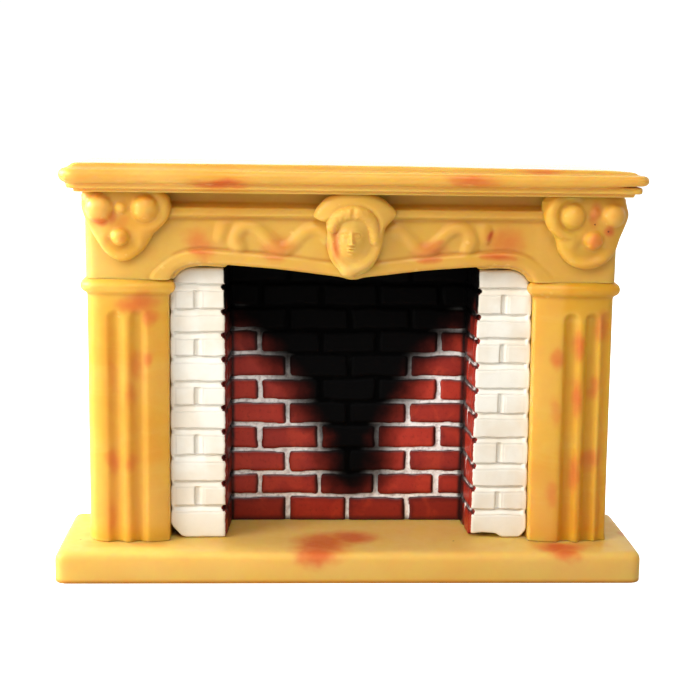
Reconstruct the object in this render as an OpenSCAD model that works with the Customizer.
// Dolls' house fireplace mantel, 1:12 scale.
// Marbled cast-resin surround (hearth, two fluted pilasters, frieze, shelf and
// three planted ornaments) around a painted brick firebox insert.
// Millimetres. +Z up, +X to the right, -Y towards the viewer.
// Origin: centre of the underside of the hearth slab.

/* [Hearth] */
// Width of the hearth slab, the widest piece
hearth_w = 145.8; // [140:0.1:156]
// Depth of the hearth slab, from the wall face to the front edge
hearth_d = 35; // [34:0.5:38]
// Thickness of the hearth slab
hearth_t = 7.7; // [6.5:0.1:9]
// Plan radius of the hearth corners
hearth_corner = 3; // [2.5:0.1:4]
// Radius rolled on the top edge of the hearth
hearth_roll = 1.6; // [1:0.1:2]

/* [Pilasters] */
// Height of a pilaster from the hearth to the frieze
pilaster_h = 66.5; // [62:0.5:70]
// Width of a pilaster
pilaster_w = 20.1; // [19.5:0.1:20.5]
// Distance from the centre line to a pilaster's inner side
pilaster_in = 45; // [45:0.1:46]
// How far the pilaster face stands in front of the centre plane
face_y = 8.6; // [8.2:0.1:9]
// Width of one flute
flute_w = 4.1; // [3.4:0.1:4.2]
// Depth of one flute
flute_depth = 1.1; // [0.6:0.1:1.2]
// Height of the astragal bead at the top of a pilaster
bead_h = 3.3; // [2.6:0.1:3.6]
// Projection of the astragal bead
bead_out = 1.4; // [1:0.1:1.6]

/* [Frieze] */
// Height of the frieze
frieze_h = 21.5; // [20.5:0.1:22.5]
// Thickness of the front panel of the frieze
frieze_panel = 7.2; // [6.8:0.1:7.4]
// Height of the arch springing corner above the frieze's underside
arch_rise = 4.1; // [3.6:0.1:4.4]
// Drop of the arch edge at the centre line
arch_drop = 3.7; // [2:0.1:3.8]
// Radius of the arch corners
arch_corner = 6.3; // [5.5:0.1:6.4]
// Width of the moulded band along the arch edge
band_w = 3.3; // [2.6:0.1:3.6]
// Relief of the moulded band
band_relief = 0.6; // [0.3:0.1:0.9]
// Relief of the running scroll
scroll_relief = 0.7; // [0.4:0.1:1]

/* [Shelf] */
// Width of the shelf over its nose moulding
shelf_w = 140.8; // [138:0.1:144]
// Projection of the shelf nose in front of the centre plane
shelf_y = 17; // [16:0.1:17.4]
// Thickness of the rounded nose moulding
nose_t = 3; // [2.6:0.1:3.2]

/* [Ornaments] */
// Centre of the left cartouche, measured from the centre line
cartouche_left = 55.4; // [55:0.1:57]
// Centre of the right cartouche, measured from the centre line
cartouche_right = 57.3; // [55:0.1:57.4]
// Radius of the large berries
berry_r = 3.1; // [2.6:0.1:3.3]

/* [Brick insert] */
// Height of one brick course with its joint
course = 6.3; // [6.2:0.05:6.4]
// Half width of the firebox opening between the brick slips
opening_half = 31.1; // [30.5:0.1:31.5]
// Half width of the firebox back wall
back_half = 30.3; // [29.5:0.1:30.4]
// Depth of the firebox from the slip face to the back wall
firebox_d = 15.7; // [14:0.1:16]
// Length of one brick with its joint
brick_l = 15.85; // [15.4:0.05:16]
// Width of a mortar joint in the firebox
joint_w = 1.25; // [1:0.05:1.5]
// Width of a mortar joint in the slips
slip_joint_w = 1.9; // [1.5:0.1:2.1]
// Relief of the bricks over their mortar
brick_relief = 0.5; // [0.3:0.1:0.6]

/* [Hidden] */

$fn = 48;

amber = [0.91, 0.72, 0.38];
white_brick = [0.93, 0.9, 0.83];
red_brick = [0.55, 0.14, 0.1];
soot = [0.06, 0.05, 0.05];

overlap = 0.01;     // overlap that joins touching shapes
over = 1;           // how far a cutter runs past the face it cuts
root = 0.5;         // how far a spigot or pin runs into its own piece
glue = 0.05;        // bonding clearance round a spigot or in a rebate
socket_gap = 0.2;   // extra depth of a socket beyond its spigot
clearance = 0.1;    // gap between neighbouring pieces

wall_y = hearth_d / 2;                    // rear plane, against the chimney breast
pilaster_out = pilaster_in + pilaster_w;  // outer side of a pilaster
insert_half = pilaster_in - clearance;    // half width of the insert and the arch
frieze_z = hearth_t + pilaster_h;         // underside of the frieze
shelf_z = frieze_z + frieze_h;            // underside of the shelf
flange_t = 4;                             // shelf-bearing flange at the top of the frieze

slip_y = -4.6;                            // front face of the brick slips
slip_t = 3.2;                             // thickness of a slip
slip_back = slip_y + slip_t;              // rear face of a slip
back_y = slip_y + firebox_d;              // brick face of the firebox back

// Spigots between the castings, placed as [x, y]; those of the pilasters are mirrored
spigot_r = 2.5;
spigot_l = 3.5;
shelf_spigot_l = 2.5;
spigot_x = pilaster_in + 10;
foot_spigots = [[spigot_x, -1.5], [spigot_x, 11]];
head_spigots = [[spigot_x, 0], [spigot_x, 11.5]];
shelf_spigots = [[-50, 4], [50, 4]];

// Pins behind the planted ornaments
pin_r = 1.5;
pin_l = 2.5;
cartouche_xs = [-cartouche_left, cartouche_right];
cartouche_rise = 4.4;                     // flat top above the widest line of a cartouche
cartouche_z = shelf_z - cartouche_rise;   // height of that widest line
cartouche_pin_z = cartouche_z - 3;
mask_pin_z = frieze_z + 11;

// ---------- helpers ----------

// Extrudes a shape drawn in the X-Z plane from front to back
module xz(front, back) {
    translate([0, back, 0]) rotate([90, 0, 0]) linear_extrude(back - front) children();
}

// Round bar along Y between two depths
module y_bar(x, z, r, front, back) {
    translate([x, back, z]) rotate([90, 0, 0]) cylinder(r = r, h = back - front);
}

// Round bar along X, starting at x
module x_bar(x, y, z, r, length) {
    translate([x, y, z]) rotate([0, 90, 0]) cylinder(r = r, h = length);
}

// Upright round bar at place [x, y]
module post(place, z, r, h) {
    translate([place.x, place.y, z]) cylinder(r = r, h = h);
}

// Sweeps a section round an arc in the X-Z plane, starting at angle turn
module swept_arc(x, y, z, radius, turn, sweep) {
    translate([x, y, z]) rotate([90, 0, 0]) rotate([0, 0, turn])
        rotate_extrude(angle = sweep) translate([radius, 0]) children();
}

// Pin through the frieze face, from lead in front of it to length behind it
module pin(x, z, lead, r = pin_r, length = pin_l) {
    y_bar(x, z, r, -face_y - lead, -face_y + length);
}

// Carries a child for the right-hand side over to side s (1 right, -1 left)
module side(s) {
    if (s > 0) children();
    else mirror([1, 0, 0]) children();
}

// ---------- hearth ----------

hearth_chamfer = 0.7;   // chamfer on the bottom edge

// Edge section of the hearth, measured outwards from the corner centre
module hearth_edge() {
    roll_x = hearth_corner - hearth_roll;
    roll_z = hearth_t - hearth_roll;
    translate([0, hearth_chamfer]) square([hearth_corner, roll_z - hearth_chamfer]);
    translate([0, roll_z - overlap]) square([roll_x, hearth_roll + overlap]);
    translate([roll_x, roll_z]) circle(r = hearth_roll);
    polygon([[0, 0], [hearth_corner - hearth_chamfer, 0],
             [hearth_corner, hearth_chamfer], [0, hearth_chamfer]]);
}

module hearth_slab() {
    half_x = hearth_w / 2 - hearth_corner;
    half_y = hearth_d / 2 - hearth_corner;
    color(amber) difference() {
        union() {
            translate([-half_x, -half_y, 0]) cube([2 * half_x, 2 * half_y, hearth_t]);
            // side edges
            for (s = [-1, 1]) side(s) translate([half_x, half_y, 0]) rotate([90, 0, 0])
                linear_extrude(2 * half_y) hearth_edge();
            // front and rear edges
            for (a = [0, 180]) rotate([0, 0, a]) translate([-half_x, -half_y, 0])
                rotate([90, 0, 90]) linear_extrude(2 * half_x) mirror([1, 0]) hearth_edge();
            // corners
            for (a = [0, 180], s = [-1, 1]) rotate([0, 0, a]) side(s)
                translate([half_x, -half_y, 0]) rotate([0, 0, -90])
                    rotate_extrude(angle = 90) hearth_edge();
        }
        for (s = [-1, 1], place = foot_spigots)
            post([s * place.x, place.y], hearth_t - spigot_l - socket_gap,
                 spigot_r + glue, spigot_l + over);
    }
}

// ---------- pilasters ----------

outer_round = 2.2;                // front outer corner
inner_round = 1.2;                // front inner corner
flute_top = hearth_t + 58.4;      // crown of the flutes
// The two pilasters were cast from hand-cut patterns, so their flutes differ.
// Face flutes: distances from the inner side
flutes_left = [7.5, 13.1];
flutes_right = [10.1, 15.3];
// Flute on the outer corner: [distance from the outer side, width, outward turn]
corner_flute_left = [1.9, 2.6, 14];
corner_flute_right = [1.3, 2.4, 24];
corner_flute_depth = 0.7;

module pilaster_plan() {
    translate([pilaster_in, -face_y + outer_round])
        square([pilaster_w, wall_y + face_y - outer_round]);
    translate([pilaster_in + inner_round, -face_y])
        square([pilaster_w - inner_round - outer_round, outer_round + overlap]);
    translate([pilaster_in, -face_y + inner_round])
        square([inner_round + overlap, outer_round - inner_round + overlap]);
    translate([pilaster_in + inner_round, -face_y + inner_round]) circle(r = inner_round);
    translate([pilaster_out - outer_round, -face_y + outer_round]) circle(r = outer_round);
}

// Concave flute with a domed top, cut into the face at x and turned outwards
module flute(x, width, depth, turn = 0) {
    r = (width * width / 4 + depth * depth) / (2 * depth);
    dome_z = flute_top - width / 2;
    translate([x, -face_y, 0]) rotate([0, 0, turn]) translate([0, -(r - depth), 0]) {
        translate([0, 0, hearth_t - over]) cylinder(r = r, h = dome_z - hearth_t + over);
        translate([0, 0, dome_z]) sphere(r = r);
    }
}

// Astragal bead round the face and both sides; the inner run stops short of the slip
module astragal() {
    r = bead_h / 2;
    inset = r - bead_out;
    inner_x = pilaster_in + inset;
    outer_x = pilaster_out - inset;
    front = -face_y + inset;
    z = frieze_z - r;
    x_bar(inner_x, front, z, r, outer_x - inner_x);
    y_bar(outer_x, z, r, front, wall_y - overlap);
    y_bar(inner_x, z, r, front, slip_y - clearance);
    for (x = [inner_x, outer_x]) translate([x, front, z]) sphere(r = r);
}

module pilaster(s, flutes, corner_flute) {
    color(amber) side(s) union() {
        difference() {
            translate([0, 0, hearth_t]) linear_extrude(pilaster_h) pilaster_plan();
            for (x = flutes) flute(pilaster_in + x, flute_w, flute_depth);
            flute(pilaster_out - corner_flute[0], corner_flute[1], corner_flute_depth,
                  corner_flute[2]);
        }
        astragal();
        for (place = foot_spigots)
            post(place, hearth_t - spigot_l, spigot_r, spigot_l + root);
        for (place = head_spigots)
            post(place, frieze_z - root, spigot_r, spigot_l + root);
    }
}

// ---------- ornament outlines ----------

// Point on a cartouche outline about its own centre: a broad top over a rounded tongue
function cartouche_point(angle) = let (up = sin(angle)) [
    (10.6 - 1.6 * pow(abs(up), 4)) * cos(angle) * (up < 0 ? pow(1 + up * 0.42, 0.9) : 1),
    up < 0 ? 12.6 * up : 4.6 * pow(up, 0.8)];

module cartouche_outline() {
    intersection() {
        polygon([for (i = [0 : 71]) cartouche_point(i * 5)]);
        translate([-20, -20]) square([40, 20 + cartouche_rise]);
    }
}

mask_r = 6.1;        // radius of the rounded body of the mask
mask_low = 9.2;      // centre of its lower circle above the frieze's underside
mask_foot = 0.5;     // bottom of the mask above the frieze's underside

// Spread hood and tapering neck, [x, height above the frieze's underside]
hood_points = [[-mask_r, 12], [-10.1, 15.6], [-9.6, 17], [-6.5, frieze_h],
               [6.5, frieze_h], [9.6, 17], [10.1, 15.6], [mask_r, 12]];
neck_points = [[-3.8, 5.5], [3.8, 5.5], [1.8, 1.2], [0.9, mask_foot],
               [-0.9, mask_foot], [-1.8, 1.2]];

module mask_outline() {
    translate([0, frieze_z]) {
        translate([0, 11.7]) circle(r = mask_r);
        translate([-mask_r, mask_low]) square([2 * mask_r, 7]);
        translate([0, mask_low]) circle(r = mask_r);
        polygon(hood_points);
        polygon(neck_points);
    }
}

// ---------- frieze ----------

arch_half = insert_half - arch_corner;            // centre of an arch corner
arch_corner_z = frieze_z + arch_rise - arch_corner;
arch_below = 5;                                   // reach of the opening under the frieze
arch_steps = 12;                                  // steps in each half of the arch edge

// Height of the arch edge at distance x from the centre line, where it is lowest
function arch_z(x) = frieze_z + arch_rise - arch_drop
    + arch_drop * pow(min(1, abs(x) / arch_half), 0.72);

// Outline of the arched opening, grown by grow
module arch_opening(grow) {
    base_z = frieze_z - arch_below;
    r = arch_corner + grow;
    polygon(concat(
        [[-arch_half, base_z]],
        [for (i = [-arch_steps : arch_steps])
            let (x = arch_half * i / arch_steps) [x, arch_z(x) + grow]],
        [[arch_half, base_z]]));
    for (s = [-1, 1]) {
        translate([s * arch_half, arch_corner_z]) circle(r = r);
        translate([s * arch_half - r, base_z]) square([2 * r, arch_corner_z - base_z]);
    }
}

module frieze_outline() {
    translate([-pilaster_out, frieze_z]) square([2 * pilaster_out, frieze_h]);
}

scroll_pitch = 7.3;               // distance between neighbouring arcs
scroll_r = scroll_pitch / 2;
scroll_x = 11.1;                  // centre of the first arc
scroll_z = frieze_z + 10.4;
scroll_last = 3;                  // index of the last arc, a part turn
scroll_last_sweep = 110;

// Ball on the scroll line
module scroll_ball(x, z, size) {
    translate([x, -face_y, z]) sphere(r = scroll_relief * size, $fn = 24);
}

// Scroll on the right half of the face: alternate crests and troughs, a ball at each start
module running_scroll() {
    for (k = [0 : scroll_last]) {
        x = scroll_x + scroll_pitch * k;
        swept_arc(x, -face_y, scroll_z, radius = scroll_r, turn = k % 2 == 0 ? 0 : 180,
                  sweep = k < scroll_last ? 180 : scroll_last_sweep)
            circle(r = scroll_relief, $fn = 24);
        scroll_ball(x - scroll_r, scroll_z, 1.05);
    }
    // larger ball at the outer end
    end_angle = 180 + scroll_last_sweep;
    scroll_ball(scroll_x + scroll_pitch * scroll_last + scroll_r * cos(end_angle),
                scroll_z + scroll_r * sin(end_angle), 1.3);
}

// Mouldings on the face, left clear under the planted ornaments
module frieze_mouldings() {
    bead_inset = 3;
    ornament_clear = 3;
    difference() {
        union() {
            xz(-face_y - band_relief, -face_y + root) intersection() {
                difference() {
                    arch_opening(band_w);
                    arch_opening(0);
                }
                frieze_outline();
            }
            x_bar(-pilaster_out + bead_inset, -face_y, frieze_z + 16.5, r = 0.95,
                  length = 2 * (pilaster_out - bead_inset));
            for (s = [-1, 1]) side(s) running_scroll();
        }
        xz(-face_y - ornament_clear, -face_y) mask_outline();
        for (x = cartouche_xs) translate([x, 0, cartouche_z])
            xz(-face_y - ornament_clear, -face_y) cartouche_outline();
    }
}

// Front panel and the blocks behind it
module frieze_body() {
    block_y = -face_y + 0.5;      // front of the blocks, just behind the face
    block_d = wall_y - block_y;
    web_x = 35.2;
    web_t = 3;
    xz(-face_y, -face_y + frieze_panel) difference() {
        frieze_outline();
        arch_opening(0);
    }
    // end blocks over the pilasters
    for (s = [-1, 1]) side(s) translate([pilaster_in, block_y, frieze_z])
        cube([pilaster_w, block_d, frieze_h]);
    // flange under the shelf
    translate([-pilaster_in - 1, block_y, shelf_z - flange_t])
        cube([2 * (pilaster_in + 1), block_d, flange_t]);
    // webs behind the tops of the brick slips
    for (s = [-1, 1]) side(s) translate([web_x, slip_back - overlap, frieze_z + 0.8])
        cube([pilaster_in + 0.2 - web_x, web_t, frieze_h - 1.5]);
}

module frieze() {
    color(amber) difference() {
        union() {
            frieze_body();
            frieze_mouldings();
            for (place = shelf_spigots)
                post(place, shelf_z - root, spigot_r, shelf_spigot_l + root);
        }
        // cove under the shelf, from the mask to each cartouche
        for (s = [-1, 1]) side(s)
            x_bar(11, -face_y - 0.5, shelf_z - 1.6, r = 2.2, length = 32.6);
        // sockets for the pilaster heads
        for (s = [-1, 1], place = head_spigots)
            post([s * place.x, place.y], frieze_z - over,
                 spigot_r + glue, spigot_l + over + socket_gap);
        // sockets for the ornaments
        for (x = cartouche_xs)
            pin(x, cartouche_pin_z, over, pin_r + glue, pin_l + socket_gap);
        pin(0, mask_pin_z, over, pin_r + glue, pin_l + socket_gap);
    }
}

// ---------- shelf ----------

shelf_corner = 3.9;               // plan radius of the nose at the front corners
low_step_t = 1;                   // lowest step under the nose
mid_step_t = 1.4;                 // middle step under the nose
plate_t = 1.5;                    // flat plate on top of the nose
low_step_in = 3.6;                // setbacks behind the nose
mid_step_in = 1.8;
plate_in = 3.4;
mid_step_z = shelf_z + low_step_t;
nose_z = mid_step_z + mid_step_t;
plate_z = nose_z + nose_t;
shelf_top = plate_z + plate_t;

// Edge section of the shelf, measured outwards from the corner centre
module shelf_edge() {
    nose_r = nose_t / 2;
    translate([0, shelf_z]) square([shelf_corner - low_step_in, low_step_t + overlap]);
    translate([0, mid_step_z]) square([shelf_corner - mid_step_in, mid_step_t + overlap]);
    translate([0, nose_z]) square([shelf_corner - nose_r, nose_t]);
    translate([shelf_corner - nose_r, nose_z + nose_r]) circle(r = nose_r);
    translate([0, plate_z - overlap]) square([shelf_corner - plate_in, plate_t + overlap]);
}

module mantel_shelf() {
    half_x = shelf_w / 2 - shelf_corner;
    front = -shelf_y + shelf_corner;
    depth = wall_y - front;
    color(amber) difference() {
        union() {
            translate([-half_x, front, shelf_z]) cube([2 * half_x, depth, shelf_top - shelf_z]);
            // front edge
            translate([-half_x, front, 0]) rotate([90, 0, 90])
                linear_extrude(2 * half_x) mirror([1, 0]) shelf_edge();
            // side edges and front corners
            for (s = [-1, 1]) side(s) {
                translate([half_x, wall_y, 0]) rotate([90, 0, 0])
                    linear_extrude(depth) shelf_edge();
                translate([half_x, front, 0]) rotate([0, 0, -90])
                    rotate_extrude(angle = 90) shelf_edge();
            }
        }
        for (place = shelf_spigots)
            post(place, shelf_z - over, spigot_r + glue, shelf_spigot_l + over + socket_gap);
    }
}

// ---------- planted ornaments ----------

ground_y = -face_y - 1.9;         // front of a cartouche's flat ground
berry_y = -face_y - 2.4;          // centre plane of the larger berries

// Ground, ringed berries and swag, about the cartouche's own centre
module cartouche_relief() {
    pair_x = 5.1;
    pair_z = -0.2;
    xz(ground_y, -face_y) cartouche_outline();
    for (s = [-1, 1]) {
        translate([s * pair_x, ground_y, pair_z]) rotate([90, 0, 0])
            rotate_extrude() translate([4.1, 0]) circle(r = 1);
        translate([s * pair_x, berry_y, pair_z]) sphere(r = berry_r);
    }
    translate([0, -face_y - 2.2, 0.5]) sphere(r = 1.15);
    translate([0, berry_y, -6.2]) sphere(r = 2.2);
    // swag round the lower berry
    swept_arc(0, ground_y, -6.6, radius = 4.3, turn = 200, sweep = 140) circle(r = 1.3);
}

module cartouche(x) {
    color(amber) difference() {
        union() {
            translate([x, 0, cartouche_z]) cartouche_relief();
            pin(x, cartouche_pin_z, root);
        }
        // flat top under the shelf, flat back on the frieze
        translate([-100, -40, shelf_z]) cube([200, 60, 20]);
        difference() {
            translate([x - 20, -face_y, shelf_z - 30]) cube([40, 10, 40]);
            pin(x, cartouche_pin_z, over);
        }
    }
}

head_half_w = 4.5;                // before the swelling towards the crown
head_half_h = 6.2;
head_steps = 24;

// Point on the half section of the plain egg-shaped head, from chin (0) to crown (1)
function head_point(t) = let (angle = -90 + t * 180) [
    head_half_w * cos(angle) * (1 + 0.14 * sin(angle)), head_half_h * sin(angle)];

// Hood with a bowed front
module mask_hood() {
    intersection() {
        xz(-face_y - 6, -face_y) intersection() {
            mask_outline();
            translate([-20, frieze_z + 13.6]) square([40, 20]);
        }
        translate([0, 4.2, 0]) cylinder(r = 17.6, h = 200, $fn = 96);
    }
}

module mask_ornament() {
    color(amber) difference() {
        union() {
            xz(-face_y - 1.5, -face_y) mask_outline();
            // head
            translate([0, -face_y - 1.4, frieze_z + 10.6]) rotate_extrude()
                polygon(concat([[0, -head_half_h]],
                               [for (i = [1 : head_steps - 1]) head_point(i / head_steps)],
                               [[0, head_half_h]]));
            // veil falling either side of the head
            for (s = [-1, 1]) post([s * 4.4, -face_y - 1.1], frieze_z + 6.6, r = 1.6, h = 8);
            mask_hood();
            // pendant under the chin
            translate([0, -face_y - 0.6, frieze_z + 3]) sphere(r = 2.2);
            pin(0, mask_pin_z, root);
        }
        // flat top, back and foot
        translate([-40, -40, shelf_z]) cube([80, 60, 20]);
        difference() {
            translate([-20, -face_y, frieze_z - 10]) cube([40, 12, 60]);
            pin(0, mask_pin_z, over);
        }
        translate([-20, -40, frieze_z - 10]) cube([40, 60, 10 + mask_foot]);
    }
}

// ---------- brick insert ----------

slip_bed_left = 15.4;             // height of the lowest bed joint in each slip
slip_bed_right = 14.6;
slip_top = frieze_z + 2.8;
slip_round = arch_corner - 0.8;   // radius of the upper outer corner
slip_upright_x = 38.3;            // upright joints of the slips

// Slip of stock bricks in stretcher courses and split courses, top rounded to the arch
module slip_outline() {
    round_x = insert_half - slip_round;
    round_z = slip_top - slip_round;
    foot_cut = 3.4;
    difference() {
        translate([opening_half, hearth_t])
            square([insert_half - opening_half, slip_top - hearth_t]);
        difference() {
            translate([round_x, round_z]) square([slip_round + over, slip_round + over]);
            translate([round_x, round_z]) circle(r = slip_round);
        }
        // bevel at the lower outer corner
        polygon([[insert_half + over, hearth_t - over],
                 [insert_half + over, hearth_t + foot_cut],
                 [insert_half - foot_cut, hearth_t - over]]);
    }
}

module brick_slip(s, first_bed) {
    joint_y = slip_y - over;
    joint_d = over + brick_relief;
    color(white_brick) side(s) difference() {
        xz(slip_y, slip_back) slip_outline();
        // bed joints
        for (k = [0 : 9])
            translate([opening_half - over, joint_y, first_bed + course * k - slip_joint_w / 2])
                cube([insert_half - opening_half + 2 * over, joint_d, slip_joint_w]);
        // upright joints in every other course
        for (k = [0 : 2 : 8])
            translate([slip_upright_x - slip_joint_w / 2, joint_y, first_bed + course * k])
                cube([slip_joint_w, joint_d, course]);
    }
}

back_t = 4;                       // thickness of the back panel
cheek_t = 3;                      // thickness of a cheek
cheek_top = frieze_z + 4.4;       // top of the cheeks, under the throat plate
tongue = 0.8;                     // reach of a cheek into the back panel
rebate = 0.9;                     // depth of the rebate that takes it
firebox_bed = 14.4;               // height of the lowest bed joint in the firebox
firebox_beds = 10;                // index of the highest bed joint
splay = atan((opening_half - back_half) / (back_y - slip_back));
cheek_l = (back_y - slip_back) / cos(splay);

// Frame of the right cheek: Y runs back along its brick face, X into its thickness
module on_cheek() {
    translate([opening_half, slip_back, 0]) rotate([0, 0, splay]) children();
}

// Side wall of the firebox, splayed inwards towards the back, tongued into the back panel
module firebox_cheek(s) {
    joint_d = over + brick_relief;
    color(red_brick) side(s) difference() {
        on_cheek() difference() {
            translate([0, -1, hearth_t]) cube([cheek_t, cheek_l + 2.2, cheek_top - hearth_t]);
            // bed joints
            for (k = [0 : firebox_beds])
                translate([-over, -2, firebox_bed + course * k - joint_w / 2])
                    cube([joint_d, cheek_l + 2.4, joint_w]);
            // upright joints, alternating along the length
            for (k = [0 : firebox_beds])
                translate([-over, (k % 2 == 0 ? 0.35 : 0.68) * cheek_l - joint_w / 2,
                           firebox_bed + course * (k - 1)])
                    cube([joint_d, joint_w, course]);
        }
        // square ends at the slip and in the rebate
        translate([0, slip_back - 5, 0]) cube([60, 5, 200]);
        translate([0, back_y + tongue, 0]) cube([60, 5, 200]);
    }
}

// Rear panel of the firebox with running-bond bricks, rebated for the cheeks
module firebox_back() {
    bond_x = 0.3;                 // offset of the bond from the centre line
    joint_y = back_y - over;
    joint_d = over + brick_relief;
    color(red_brick) difference() {
        translate([-insert_half, back_y, hearth_t])
            cube([2 * insert_half, back_t, shelf_z - flange_t - clearance - hearth_t]);
        // bed joints
        for (k = [0 : firebox_beds])
            translate([-back_half, joint_y, firebox_bed + course * k - joint_w / 2])
                cube([2 * back_half, joint_d, joint_w]);
        // upright joints, alternate courses half a brick apart; the lowest run to the hearth
        for (k = [0 : firebox_beds], i = [-2 : 2]) {
            x = bond_x + brick_l * (i + (k % 2 == 0 ? 0 : 0.5));
            z = k == 0 ? hearth_t - over : firebox_bed + course * (k - 1);
            if (abs(x) < back_half - 1) translate([x - joint_w / 2, joint_y, z])
                cube([joint_w, joint_d, k == 0 ? firebox_bed - z : course]);
        }
        // rebates for the cheek tongues
        for (s = [-1, 1]) side(s) on_cheek()
            translate([-glue, cheek_l - over, hearth_t - over])
                cube([cheek_t + 2 * glue, over + rebate, cheek_top - hearth_t + over + glue]);
    }
}

// Sooted plate that closes the top of the firebox
module firebox_throat_plate() {
    half_w = 34.6;
    thickness = 2.2;
    color(soot) translate([-half_w, slip_back + glue, cheek_top])
        cube([2 * half_w, back_y - slip_back - 2 * glue, thickness]);
}

hearth_slab();
pilaster(-1, flutes_left, corner_flute_left);  // left_pilaster
pilaster(1, flutes_right, corner_flute_right);  // right_pilaster
frieze();
mantel_shelf();
cartouche(-cartouche_left);  // left_cartouche
cartouche(cartouche_right);  // right_cartouche
mask_ornament();
brick_slip(-1, slip_bed_left);  // left_brick_slip
brick_slip(1, slip_bed_right);  // right_brick_slip
firebox_cheek(-1);  // left_firebox_cheek
firebox_cheek(1);  // right_firebox_cheek
firebox_back();
firebox_throat_plate();
